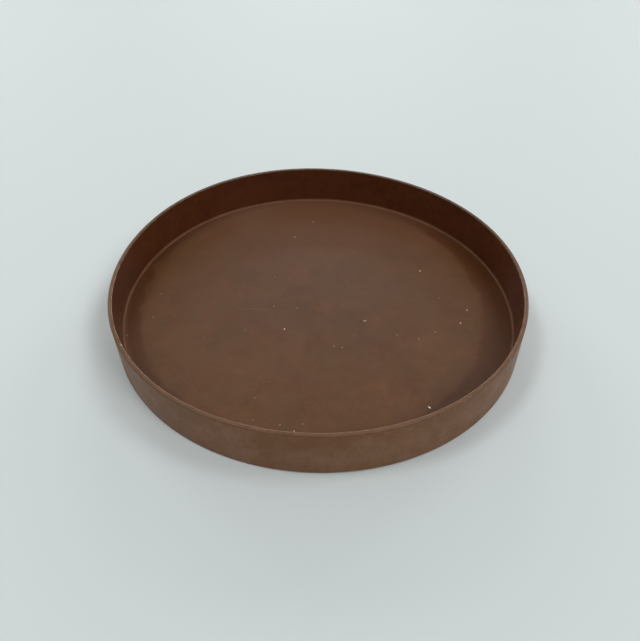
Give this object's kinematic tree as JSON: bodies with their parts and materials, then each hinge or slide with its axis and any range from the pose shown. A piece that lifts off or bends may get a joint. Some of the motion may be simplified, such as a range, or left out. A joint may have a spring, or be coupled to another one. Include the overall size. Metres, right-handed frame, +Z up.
{
  "type": "plant saucer",
  "caption": "Round plastic plant saucer with a flat floor, a low upright wall with a rounded rim, and a foot ring underneath.",
  "frame": {"origin": "centre of the foot ring, on the surface that the saucer stands on", "axes": "+Z up along the saucer's axis; X and Y are any two directions across it, because it is round"},
  "size_m": [0.2, 0.2, 0.024],
  "materials": {
    "brown_plastic": "satin"
  },
  "bodies": {
    "root": {"saucer": "brown_plastic"}
  },
  "joints": []
}
